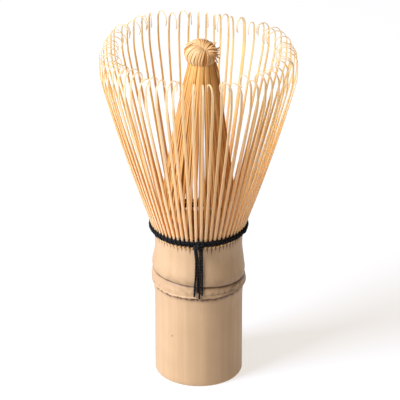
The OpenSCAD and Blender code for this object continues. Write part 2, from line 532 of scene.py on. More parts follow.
        # A slit is a narrow V under each inner tine, which opens up to the cuts on its two sides.
        away = add(tree, "Math", {"operation": "PINGPONG"}, {1: 0.5}, {0: turns}).outputs[0]
        cell = add(tree, "Math", {"operation": "ROUND"}, None, {0: turns}).outputs[0]
        chance = add(
            tree, "TexWhiteNoise", {"noise_dimensions": "1D"}, None, {"W": cell}
        ).outputs["Value"]
        low = add(
            tree, "MapRange", None,
            {"To Min": (self.slit_low_mm + self.slit_spread_mm) * MM, "To Max": self.slit_low_mm * MM},
            {"Value": chance},
        ).outputs[0]
        rise = add(
            tree, "MapRange", {"clamp": True}, {"From Max": self.slit_top_mm * MM, "To Max": 0.34},
            {"Value": parts["Z"], "From Min": low},
        ).outputs[0]
        inside = add(tree, "Math", {"operation": "SUBTRACT"}, None, {0: rise, 1: away}).outputs[0]
        return add(
            tree, "MapRange", {"clamp": True}, {"From Max": 0.05, "To Max": 0.85}, {"Value": inside}
        ).outputs[0]


@dataclass(frozen=True)
class SplitBamboo:
    """Split and shaved bamboo: pale satin skin on one face, golden knife-cut wood on the others.

    The knife leaves long fibres open, so the cut faces are warmer, rougher and streaked lengthwise.
    """

    name: str = "split_bamboo"
    skin: str = "#D3AB84"
    skin_deep: str = "#C6A073"
    cut: str = "#DEAB6E"
    cut_deep: str = "#CD9354"
    root_shade: float = 0.35
    root_mm: float = 8.0
    roughness: float = 0.58
    fibre_mm: float = 0.18
    fibre_length: float = 40.0
    patch_mm: float = 6.0
    relief_mm: float = 0.02
    tip: str = "#D8AE87"
    tip_from_mm: float = 50.0
    tip_to_mm: float = 66.0
    glow: float = 0.9
    glow_mm: float = 1.7

    def build(self) -> bpy.types.Material:
        """Makes the material.

        Returns:
            The material, which reads the skin, the tone and the length painted on the mesh.
        """
        made, tree, place = start_finish(self.name)
        along = add(tree, "Attribute", {"attribute_name": Mark.ALONG.value}).outputs["Fac"]
        skin = add(tree, "Attribute", {"attribute_name": Mark.SKIN.value}).outputs["Fac"]
        tone = add(tree, "Attribute", {"attribute_name": Mark.TONE.value}).outputs["Fac"]
        scale = 1 / (self.fibre_mm * MM)
        stretched = add(
            tree, "Mapping", values={"Scale": (scale, scale, scale / self.fibre_length)},
            links={"Vector": place},
        ).outputs[0]
        fibres = add(
            tree, "TexNoise", values={"Scale": 1.0, "Detail": 2.0, "Roughness": 0.6},
            links={"Vector": stretched},
        ).outputs["Fac"]
        patches = add(
            tree, "TexNoise", values={"Scale": 1 / (self.patch_mm * MM), "Detail": 2.0},
            links={"Vector": place},
        ).outputs["Fac"]
        share = add(
            tree, "Math", {"operation": "MULTIPLY_ADD"}, {1: 0.7}, {0: fibres, 2: tone}
        ).outputs[0]
        share = add(
            tree, "Math", {"operation": "MULTIPLY_ADD"}, {1: 0.5}, {0: patches, 2: share}
        ).outputs[0]
        share = add(
            tree, "MapRange", {"clamp": True}, {"From Min": 0.55, "From Max": 1.55}, {"Value": share}
        ).outputs[0]
        outside = add(
            tree, "Mix", COLOURS, {MIX_A: linear(self.skin), MIX_B: linear(self.skin_deep)},
            {0: share},
        ).outputs[MIXED]
        inside = add(
            tree, "Mix", COLOURS, {MIX_A: linear(self.cut), MIX_B: linear(self.cut_deep)},
            {0: share},
        ).outputs[MIXED]
        edge = add(
            tree, "MapRange", {"clamp": True}, {"From Min": 0.35, "From Max": 0.65}, {"Value": skin}
        ).outputs[0]
        body = add(
            tree, "Mix", COLOURS, None, {0: edge, MIX_A: inside, MIX_B: outside}
        ).outputs[MIXED]
        thin = add(
            tree, "MapRange", {"clamp": True},
            {"From Min": self.tip_from_mm, "From Max": self.tip_to_mm, "To Max": 0.7}, {"Value": along},
        ).outputs[0]
        body = add(
            tree, "Mix", COLOURS, {MIX_B: linear(self.tip)}, {0: thin, MIX_A: body}
        ).outputs[MIXED]
        root = add(
            tree, "MapRange", {"clamp": True},
            {"From Min": 0.0, "From Max": self.root_mm, "To Min": self.root_shade, "To Max": 0.0},
            {"Value": along},
        ).outputs[0]
        body = add(
            tree, "Mix", COLOURS, {MIX_B: linear(self.cut_deep)}, {0: root, MIX_A: body}
        ).outputs[MIXED]
        relief = add(
            tree, "Bump", None, {"Strength": 0.3, "Distance": self.relief_mm * MM}, {"Height": fibres}
        ).outputs[0]
        # The shaved strips are so thin that light soaks through them, more of the red than the blue.
        shader = add(
            tree, "BsdfPrincipled", None,
            {
                "IOR": 1.5, "Roughness": self.roughness, "Specular IOR Level": 0.3,
                "Subsurface Weight": self.glow,
                "Subsurface Radius": (1.0, 0.85, 0.6), "Subsurface Scale": self.glow_mm * MM,
            },
            {"Base Color": body, "Normal": relief},
        ).outputs[0]
        add(tree, "OutputMaterial", None, None, {0: shader})
        return made


@dataclass(frozen=True)
class WaxedThread:
    """Black waxed cotton thread of two plies: matt, with a faint sheen on the crests of the twist, partly
    painted as a paler colour on them.
    """

    name: str = "waxed_black_thread"
    black: str = "#040303"
    crest_sheen: str = "#151211"
    roughness: float = 0.75
    fuzz_mm: float = 0.1
    relief_mm: float = 0.03

    def build(self) -> bpy.types.Material:
        """Makes the material.

        Returns:
            The material, which reads the crests of the plies painted on the mesh and paints them paler as a
            sheen.
        """
        made, tree, place = start_finish(self.name)
        ply = add(tree, "Attribute", {"attribute_name": Mark.SKIN.value}).outputs["Fac"]
        # Cotton fibres are far finer than can show, so the fuzz is drawn at a tenth of a millimetre.
        fuzz = add(
            tree, "TexNoise", values={"Scale": 1 / (self.fuzz_mm * MM), "Detail": 2.0},
            links={"Vector": place},
        ).outputs["Fac"]
        # Painted sheen: the crests of the plies are painted a little paler, broken up by the fuzz.
        share = add(
            tree, "Math", {"operation": "MULTIPLY", "use_clamp": True}, None, {0: ply, 1: fuzz}
        ).outputs[0]
        body = add(
            tree, "Mix", COLOURS, {MIX_A: linear(self.black), MIX_B: linear(self.crest_sheen)},
            {0: share},
        ).outputs[MIXED]
        relief = add(
            tree, "Bump", None, {"Strength": 0.5, "Distance": self.relief_mm * MM}, {"Height": fuzz}
        ).outputs[0]
        shader = add(
            tree, "BsdfPrincipled", None,
            {"IOR": 1.4, "Roughness": self.roughness, "Specular IOR Level": 0.3, "Sheen Weight": 0.04},
            {"Base Color": body, "Normal": relief},
        ).outputs[0]
        add(tree, "OutputMaterial", None, None, {0: shader})
        return made


@dataclass(frozen=True)
class NodeWall:
    """The culm's papery node wall: pale, fibrous and quite matt."""

    name: str = "bamboo_node_wall"
    pale: str = "#E9D6B0"
    brown: str = "#B58E5C"
    cloud_mm: float = 1.5
    relief_mm: float = 0.1

    def build(self) -> bpy.types.Material:
        """Makes the material.

        Returns:
            The material.
        """
        made, tree, place = start_finish(self.name)
        cloud = add(
            tree, "TexNoise", values={"Scale": 1 / (self.cloud_mm * MM), "Detail": 5.0},
            links={"Vector": place},
        ).outputs["Fac"]
        body = add(
            tree, "Mix", COLOURS, {MIX_A: linear(self.pale), MIX_B: linear(self.brown)}, {0: cloud}
        ).outputs[MIXED]
        relief = add(
            tree, "Bump", None, {"Strength": 0.5, "Distance": self.relief_mm * MM}, {"Height": cloud}
        ).outputs[0]
        shader = add(
            tree, "BsdfPrincipled", None, {"IOR": 1.45, "Roughness": 0.85},
            {"Base Color": body, "Normal": relief},
        ).outputs[0]
        add(tree, "OutputMaterial", None, None, {0: shader})
        return made


@dataclass(frozen=True)
class PaleFloor:
    """A plain opal acrylic table, lit from below so that shadows on it stay faint."""

    name: str = "pale_floor"
    opal: str = "#8E9296"
    glow_colour: str = "#FFFAF5"
    glow: float = 0.7

    def build(self) -> bpy.types.Material:
        """Makes the material.

        Returns:
            The material.
        """
        made = bpy.data.materials.new(self.name)
        made.use_nodes = True
        shader = made.node_tree.nodes["Principled BSDF"]
        shader.inputs["Base Color"].default_value = linear(self.opal)
        shader.inputs["Roughness"].default_value = 0.9
        shader.inputs["Specular IOR Level"].default_value = 0.0
        shader.inputs["Emission Color"].default_value = linear(self.glow_colour)
        shader.inputs["Emission Strength"].default_value = self.glow
        return made


# ---------------------------------------------------------------------------------------------
# Sub-assemblies


@dataclass
class Assembly:
    """Pieces that share one finish, from one slot of the record."""

    slot: ClassVar[Slot]
    pieces: list[bpy.types.Object] = field(default_factory=list)

    def fix_piece(self, name: str, bm: bmesh.types.BMesh, *nodes: str, sharp: float = 40.0) -> None:
        """Turns a mesh into a piece that rides on the handle.

        Args:
            name: the piece's name.
            bm: its mesh, which is freed.
            nodes: the CAD nodes that it stands for.
            sharp: edges that turn more than this many degrees stay crisp.
        """
        piece = make_piece(name, bm, sharp)
        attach(piece, "handle")
        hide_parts(*nodes)
        self.pieces.append(piece)

    def dress(self, finish: bpy.types.Material) -> None:
        """Gives every piece its finish and logs it.

        Args:
            finish: the material.
        """
        for piece in self.pieces:
            piece.data.materials.clear()
            piece.data.materials.append(finish)
            LOG.info("%s: %d faces", piece.name, len(piece.data.polygons))


@dataclass
class Culm(Assembly):
    """The handle: a plain grip, the swollen node and the collar, hollow below and above the node."""

    slot = Slot.CULM_SKIN
    radius: float = 13.0
    rim_z: float = 45.7
    bore: float = 9.0
    node_bore: float = 8.3
    wall_z: float = 30.2
    scar_z: float = 29.9
    groove_z: float = 33.7
    waist_z: float = 42.0
    split_thick: float = 1.06
    chamber_lip: float = 44.5
    chamber_foot: float = 35.8
    # How far each feature of the node stands proud, or lies deep.
    swell_by: float = 0.38
    step_by: float = 0.34
    roll_by: float = 0.2
    lip_by: float = 0.12
    groove_by: float = 0.24
    ridge_by: float = 0.08
    waist_by: float = 0.12
    foot_by: float = 0.3
    foot_round: float = 0.45
    turns: int = 320

    def rough_shaded_side(self, azimuth: float) -> float:
        """Rises from 0 to 1 round to the shaded side, where the scar's lip, the rust and the painted shade
        are heaviest.
        """
        return 0.5 + 0.5 * math.cos(azimuth + 0.5)

    def scar_at(self, azimuth: float) -> float:
        """Height of the ragged scar that the sheath left."""
        return self.scar_z + 0.28 * wave(azimuth, 0, 7, 1) + 0.12 * wave(azimuth, 0, 24, 2)

    def groove_at(self, azimuth: float) -> float:
        """Height of the groove, which runs lower and nearer the scar on one side."""
        side = math.cos(azimuth)
        return self.groove_z - 1.1 * side - 0.35 * side * side + 0.12 * wave(azimuth, 0, 2, 3)

    def node_radius(self, azimuth: float, height: float) -> float:
        """Outside radius, with the node's swelling, scar lip, band, groove and ridge.

        Args:
            azimuth: angle round the axis, in radians.
            height: height in millimetres.

        Returns:
            The radius in millimetres.
        """
        scar, groove, rough_shaded = self.scar_at(azimuth), self.groove_at(azimuth), self.rough_shaded_side(azimuth)
        swell = ease((height - 24.5) / 6.0) * (1 - ease((height - 36.0) / 5.2))
        lopsided = 1 + 0.12 * math.cos(azimuth - math.radians(200))
        step = ease((height - scar + 0.15) / 0.3) * (1 - ease((height - groove) / 6.0))
        lip = bump(height, scar + 0.15, 0.3) * (0.8 + 0.5 * rough_shaded + 0.8 * wave(azimuth, 0, 30, 4))
        roll = bump(height, mix(scar, groove, 0.45), 0.9)
        line = bump(height, groove, 0.2 if height > groove else 0.6)
        line += 0.5 * bump(height, groove + 0.3, 0.6)
        ridge = bump(height, groove + 2.0, 1.0)
        waist = bump(height, self.waist_z, 2.2)
        oval = 0.05 * math.cos(2 * azimuth + 0.8) + 0.03 * wave(azimuth, height * 0.1, 3, 5)
        foot = -self.foot_by * ease((self.foot_round - height) / self.foot_round)
        return (
            self.radius - 0.02 + oval + foot + self.swell_by * swell * lopsided + self.step_by * step
            + self.roll_by * roll + (self.lip_by + self.lip_by * rough_shaded) * lip - self.groove_by * line
            + self.ridge_by * ridge - self.waist_by * waist
        )

    def stain_and_shade_at(self, azimuth: float, height: float) -> float:
        """How much brown stain, and painted shade, there is at a place.

        It lies in the groove and in dots under the scar, with rust on the band between them. Painted shade
        lies under the scar's lip, in a line under the band's swell, over the groove's lower wall, and
        above and below the groove, mottled and heaviest on the side away from the light.

        Args:
            azimuth: angle round the axis, in radians.
            height: height in millimetres.

        Returns:
            The stain and painted shade, from 0 to 1.
        """
        scar, groove, rough_shaded = self.scar_at(azimuth), self.groove_at(azimuth), self.rough_shaded_side(azimuth)
        dots = ease((wave(azimuth, 0, 20, 6) + 0.25) * 2.2)
        # Dark dashes under the scar, which spread on the shaded side into a painted shadow under the scar's
        # lip.
        under = bump(height, scar - 0.48, 0.2 + 0.14 * dots + 0.2 * rough_shaded)
        under *= min(1.0, (0.3 + 0.7 * dots) * 0.8 + 0.5 * rough_shaded)
        rust = 0.42 * bump(height, mix(scar, groove, 0.5), 1.3) * rough_shaded
        rust *= ease((wave(azimuth, height * 2.5, 9, 11) + 0.15) * 2.5)
        # Painted shadow: a soft dark line under the band's swell, on the side away from the light.
        band_shadow = 0.6 * bump(height, mix(scar, groove, 0.34), 0.24) * ease(0.25 + 1.1 * math.cos(azimuth))
        flecks = bump(height, scar + 0.9, 0.8) * ease((wave(azimuth, height * 6, 12, 7) - 0.4) * 5)
        # The groove's dark line, set a little below it and wider on the shaded side, so that it also paints
        # shade over the groove's lower wall.
        line = bump(height, groove - 0.1, 0.22 + 0.1 * rough_shaded) * (0.8 + 0.3 * wave(azimuth, 0, 9, 8))
        # Painted shade, mottled and heaviest on the side away from the light: above and just below the
        # groove, and below the scar.
        side_shade = 0.5 + 0.5 * math.cos(azimuth + 0.7) + 0.7 * wave(azimuth, height * 4, 9, 9)
        shade = side_shade * (0.3 * bump(height, groove + 0.9, 1.5) + 0.14 * bump(height, groove - 0.5, 0.6))
        shade += 0.4 * rough_shaded * bump(height, scar - 0.9, 0.6)
        return max(0.0, min(1.0, 0.95 * under + 0.35 * flecks + 0.95 * line + band_shadow + rust + shade))

    def stations(self) -> list[float]:
        """Heights of the outside's sections, close together at the foot's edge and over the node.

        Returns:
            The heights in millimetres, from the foot to the rim.
        """
        heights = [0.0, 0.12, 0.3, 0.5, 1.5, 4.0, 8.0, 12.0, 16.0, 20.0]
        heights += [22.0 + 0.5 * i for i in range(12)]
        heights += [28.0 + 0.11 * i for i in range(72)]
        heights += [36.0 + 0.6 * i for i in range(17)]
        return heights

    def build(self) -> None:
        """Spins the culm, then gives the outside its natural shape."""
        rim = self.radius - self.split_thick
        outside = [(self.radius, z) for z in self.stations() if z < self.rim_z]
        outside.append((self.radius, self.rim_z))
        inside = [
            (rim, self.rim_z), (rim - 0.4, self.chamber_lip), (self.node_bore, self.chamber_foot),
            (self.node_bore, self.wall_z), (self.bore, self.wall_z), (self.bore, 15.0), (self.bore, 0.5),
            (self.bore + 0.25, 0.0),
        ]
        bm = start_mesh((Mark.STAIN_AND_SHADE, Mark.CUT))
        verts = [bm.verts.new((r * MM, 0, z * MM)) for r, z in outside + inside]
        edges = [bm.edges.new(pair) for pair in zip(verts, verts[1:] + verts[:1])]
        bmesh.ops.spin(
            bm, geom=verts + edges, cent=(0, 0, 0), axis=(0, 0, 1), angle=2 * math.pi,
            steps=self.turns, use_merge=True,
        )
        bmesh.ops.remove_doubles(bm, verts=bm.verts[:], dist=0.0005 * MM)
        stain_and_shade, cut = (bm.verts.layers.float[m.value] for m in (Mark.STAIN_AND_SHADE, Mark.CUT))
        for vert in bm.verts:
            azimuth = math.atan2(vert.co.y, vert.co.x)
            height = vert.co.z / MM
            if vert.co.xy.length > (self.radius - 0.1) * MM:
                vert.co = polar(self.node_radius(azimuth, height), azimuth, height)
                # Stain on the node, with painted shade under the scar's lip and on the side away from the
                # light.
                vert[stain_and_shade] = self.stain_and_shade_at(azimuth, height)
                vert[cut] = 1 - ease(height / 0.4)
            else:
                vert[cut] = 1.0
        self.fix_piece("bamboo_handle", bm, "culm", sharp=50)


@dataclass
class Diaphragm(Assembly):
    """The thin wall that closes the culm at its node, dished above and below."""

    slot = Slot.PITH
    thick: float = 2.0
    dish: float = 0.5

    def build(self, culm: Culm) -> None:
        """Spins the wall inside the culm.

        Args:
            culm: the handle that it closes.
        """
        low, high = culm.wall_z, culm.wall_z + self.thick
        reach, dish, steps = culm.node_bore + 0.02, self.dish, 8
        shares = [i / steps for i in range(steps + 1)]
        upper = [(reach * u, high - dish * (1 - u**2)) for u in shares]
        lower = [(reach * u, low + dish * (1 - u**2)) for u in reversed(shares)]
        bm = start_mesh(())
        verts = [bm.verts.new((r * MM, 0, z * MM)) for r, z in upper + lower]
        edges = [bm.edges.new(pair) for pair in zip(verts, verts[1:])]
        bmesh.ops.spin(
            bm, geom=verts + edges, cent=(0, 0, 0), axis=(0, 0, 1), angle=2 * math.pi, steps=72,
            use_merge=True,
        )
        bmesh.ops.remove_doubles(bm, verts=bm.verts[:], dist=0.001 * MM)
        for vert in bm.verts:
            if vert.co.xy.length < (reach - 0.3) * MM:
                vert.co.z += 0.12 * MM * noise.noise(vert.co / MM * 0.5)
        self.fix_piece("node_wall", bm, "node_diaphragm", sharp=60)


@dataclass
class TineShape:
    """How one outer tine differs from its neighbours. Angles in degrees, lengths in millimetres."""

    azimuth: float
    lean: float
    drift: float
    bow: float
    twist: float
    curl: float
    turn: float
    upright: float
    tone: float
    width: float = 1.0


@dataclass
class OuterTines(Assembly):
    """Strips that lean out over the weave, bend upright and curl in at the tip."""

    slot = Slot.OUTER_BAMBOO
    rim_z: float = 45.7
    rim_r: float = 13.0
    lean: float = 20.0
    top_lean: float = 15.0
    blade: float = 50.0
    bend: float = 20.0
    root_width: float = 0.76
    width: float = 0.88
    high_width: float = 0.78
    tip_width: float = 0.42
    thick: float = 1.0
    tip_thick: float = 0.2
    back_share: float = 0.78
    tall_by: float = 1.5
    curl_parts: int = 14
    # Two strips that were never split apart, as one wide tine.
    joined: int = 10
    joined_width: float = 1.7
    # Degrees that the tines at the back have strayed, counted from this one.
    back_first: int = 9
    back_drifts: tuple[float, ...] = (0.9, 3.1, 4.9, 2.5, 0.7, -1.1, -2.3, -3.3, -3.6, -3.5, -3.7, 0.0)
    # Where the bend above the weave is complete.
    head_r: float = 27.5
    head_z: float = 96.0

    def shapes(self) -> list[TineShape]:
        """Chooses how each tine differs, the same on every run.

        Returns:
            One shape for each tine, in order round the rim.
        """
        pick = random.Random(11)
        made = []
        for k in range(TINES):
            azimuth = math.degrees((k + 0.5) * PITCH)
            tall = self.tall_by * bump(azimuth, 135, 38)
            made.append(
                TineShape(
                    azimuth=(k + 0.5) * PITCH,
                    lean=-pick.uniform(0.0, 0.9),
                    drift=pick.gauss(0, 0.5),
                    bow=pick.gauss(0, 0.25),
                    twist=pick.gauss(0, 12) * (1 - 0.5 * bump(azimuth, 90, 24)),
                    curl=pick.uniform(2.3, 3.1),
                    turn=pick.uniform(190, 240),
                    upright=pick.uniform(2.0, 3.4) + tall,
                    tone=pick.random(),
                )
            )
        for k, drift in enumerate(self.back_drifts, self.back_first):
            made[k].drift = drift
        made[self.joined].width = self.joined_width
        return made

    def skin_line(self, shape: TineShape) -> list[tuple[float, float, float, float]]:
        """Stations along the skin as (radius, height, lean in radians, distance), in millimetres.

        Args:
            shape: how this tine differs.

        Returns:
            The stations from the rim to the tip.
        """
        lean, top = math.radians(self.lean + shape.lean), math.radians(self.top_lean + shape.lean)
        bend_l = self.bend * top
        curl_l = shape.curl * math.radians(shape.turn)
        steps = [0.7, 1.4, 2.2, 3.0, 4.2] + [6.0 + 5.5 * i for i in range(9)]
        line = [(self.rim_r, self.rim_z, lean, 0.0)]

        def forward(length: float, curve: float) -> None:
            """Adds a station further along.

            Args:
                length: distance from the last one, in millimetres.
                curve: how fast the strip turns upright, in radians a millimetre.
            """
            r, z, a, s = line[-1]
            b = a - curve * length
            m = (a + b) / 2
            line.append((r + math.sin(m) * length, z + math.cos(m) * length, b, s + length))

        for target in steps[:-1] + [self.blade]:
            forward(target - line[-1][3], (lean - top) / self.blade)
        for _ in range(3):
            forward(bend_l / 3, 1 / self.bend)
        forward(shape.upright, 0.0)
        for i in range(self.curl_parts):
            tight = mix(0.86, 1.22, i / (self.curl_parts - 1))
            forward(curl_l / self.curl_parts / tight, tight / shape.curl)
        return line

    def tine_rings(self, shape: TineShape) -> list[Ring]:
        """Sections of one outer tine.

        Args:
            shape: how this tine differs.

        Returns:
            The sections from the rim to the curled tip.
        """
        line = self.skin_line(shape)
        reach = line[-1][3]
        upright_r = line[-1 - self.curl_parts][0]
        curl_start = reach - shape.curl * math.radians(shape.turn)
        rings = []
        for radius, height, lean, along in line:
            risen = max(0.0, along - 4.5) / reach
            swing = math.radians(shape.drift * risen + shape.bow * math.sin(math.pi * risen) * 2)
            azimuth = shape.azimuth + swing
            curled = ease((along - curl_start + 2) / 6)
            turn = math.radians(shape.twist) * (0.25 * risen + 0.75 * curled)
            radial, side = around(azimuth)
            out = radial * math.cos(turn) + side * math.sin(turn)
            across = side * math.cos(turn) - radial * math.sin(turn)
            # The curl leans sideways as a whole, about the tine's upright line.
            if along > curl_start:
                middle = polar(upright_r, azimuth, height) - out * (upright_r - radius) * MM
            else:
                middle = polar(radius, azimuth, height)
            face = out * math.cos(lean) - Vector((0, 0, 1)) * math.sin(lean)
            width = mix(self.width, self.high_width, along / curl_start)
            width = mix(self.root_width, width, ease(along / 8))
            width = mix(width, self.tip_width, ease((along - curl_start + 1) / 7))
            width *= mix(1.0, self.back_share, ease(0.5 + 0.7 * math.sin(azimuth)) * ease(along / 20))
            width *= mix(1.0, shape.width, ease((along - 8) / 12))
            thick = mix(self.thick, self.tip_thick, min(1.0, along / curl_start) ** 0.8)
            if along > reach - 0.5:
                width *= 0.7
            rings.append(strip_ring(middle, face, across, width, thick, along, shape.tone))
        return rings

    def build(self) -> None:
        """Sweeps the tines of each primary split and bends them with their CAD body."""
        shapes = self.shapes()
        for split in range(SPLITS):
            bm = start_mesh(STRIP_MARKS)
            for shape in shapes[split * PER_SPLIT : (split + 1) * PER_SPLIT]:
                sweep(bm, self.tine_rings(shape))
            label = f"{split + 1:02d}"
            piece = make_piece(f"outer_crown_{label}", bm)
            joint = next(j for j in frame["joints"] if j["child"] == f"outer_{label}")
            foot = Vector(joint["pos_m"])
            radial = Vector((foot.x, foot.y, 0)).normalized()
            head = polar(0, 0, self.head_z) + radial * self.head_r * MM
            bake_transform(piece, "handle", f"outer_{label}", start=foot, end=head)
            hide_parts(f"outer_tines_{label}", "outer_tine_roots")
            self.pieces.append(piece)


@dataclass
class InnerTines(Assembly):
    """Narrower strips between the outer ones, which lean in and close into a hollow cone."""

    slot = Slot.INNER_BAMBOO
    rim_z: float = 45.7
    rim_r: float = 12.95
    bend_z: float = 46.5
    weave_z: float = 47.4
    weave_r: float = 11.7
    neck_z: float = 100.2
    neck_r: float = 3.75
    width: float = 0.46
    full_width: float = 0.72
    neck_width: float = 0.46
    root_thick: float = 0.95
    thick: float = 0.42
    # How far the neck has shifted to one side, and which tine stands off it.
    neck_shift: float = 0.95
    stray: int = 62
    # Degrees round the rim where the cone is thin, and how far the tines part there.
    partings: tuple[float, float] = (-100.0, 97.0)
    parted: float = 0.42
    # Shares of the cone's taper that run straight and that swell it.
    straight: float = 0.55
    swelling: float = 0.45
    skin_shown: float = 0.3
    steps: int = 14

    def face_radius(self, height: float) -> float:
        """Radius of the bundle's outside.

        Args:
            height: height in millimetres.

        Returns:
            The radius in millimetres.
        """
        if height <= self.weave_z:
            return mix(self.rim_r, self.weave_r, (height - self.rim_z) / (self.weave_z - self.rim_z))
        u = (height - self.weave_z) / (self.neck_z - self.weave_z)
        return self.neck_r + (self.weave_r - self.neck_r) * (1 - self.straight * u - self.swelling * u * u)

    def parting(self, azimuth: float, u: float) -> float:
        """How far a tine stands aside of the two thin places in the cone.

        Args:
            azimuth: the tine's place, in radians.
            u: height along the cone, from 0 to 1.

        Returns:
            The shift along the cone's face, in millimetres.
        """
        shift = 0.0
        for middle in self.partings:
            away = math.remainder(azimuth - math.radians(middle), 2 * math.pi) / PITCH
            shift += self.parted * math.copysign(math.exp(-abs(away) / 2.0), away) * bump(u, 0.3, 0.26)
        return shift

    def tine_rings(self, k: int, pick: random.Random) -> list[Ring]:
        """Sections of one inner tine.

        Args:
            k: its place round the rim.
            pick: source of its small differences.

        Returns:
            The sections from the rim to the neck.
        """
        azimuth = k * PITCH
        sway, phase, tone = pick.gauss(0, 0.22), pick.uniform(0, 6.28), pick.random()
        sunk = pick.choice((0.0, 0.22, 0.3))
        gather = 0.05 * PITCH * (((k % PER_SPLIT) - 1.5) / 1.5)
        rings = []
        heights = [self.rim_z, self.bend_z, self.weave_z]
        heights += [mix(self.weave_z, self.neck_z, i / self.steps) for i in range(1, self.steps + 1)]
        for place, height in enumerate(heights):
            u = max(0.0, (height - self.weave_z) / (self.neck_z - self.weave_z))
            radius = self.face_radius(height)
            ahead = self.face_radius(height + 0.5)
            lean = math.atan2(ahead - radius, 0.5)
            radius += 0.16 * math.sin(phase + 5 * u) * math.sin(math.pi * u) - sunk * ease(u * 1.6)
            drift = sway * math.sin(math.pi * u) * (1 + 0.5 * math.sin(phase)) / max(radius, 3) * 1.3
            here = azimuth + drift - gather * math.sin(math.pi * min(1, u * 1.2)) * 0.8
            here += self.parting(azimuth, u) / max(radius, 3)
            radial, side = around(here)
            face = radial * math.cos(lean) - Vector((0, 0, 1)) * math.sin(lean)
            width = mix(mix(self.width, self.full_width, ease(u * 5)), self.neck_width, u)
            thick = self.root_thick if place == 0 else self.thick
            if k == self.stray:
                radius += 0.75 * bump(u, 0.93, 0.09)
            middle = polar(radius, here, height) + Vector((self.neck_shift * u * u * MM, 0, 0))
            ring = strip_ring(middle, face, side, width, thick, 0.8 * (height - self.rim_z), tone)
            ring.skin = [self.skin_shown * shown for shown in ring.skin]
            rings.append(ring)
        return rings

    def build(self) -> None:
        """Sweeps the inner tines of each primary split."""
        pick = random.Random(23)
        for split in range(SPLITS):
            bm = start_mesh(STRIP_MARKS)
            for k in range(split * PER_SPLIT, (split + 1) * PER_SPLIT):
                sweep(bm, self.tine_rings(k, pick))
            label = f"{split + 1:02d}"
            self.fix_piece(f"inner_cone_{label}", bm, f"inner_tines_{label}")


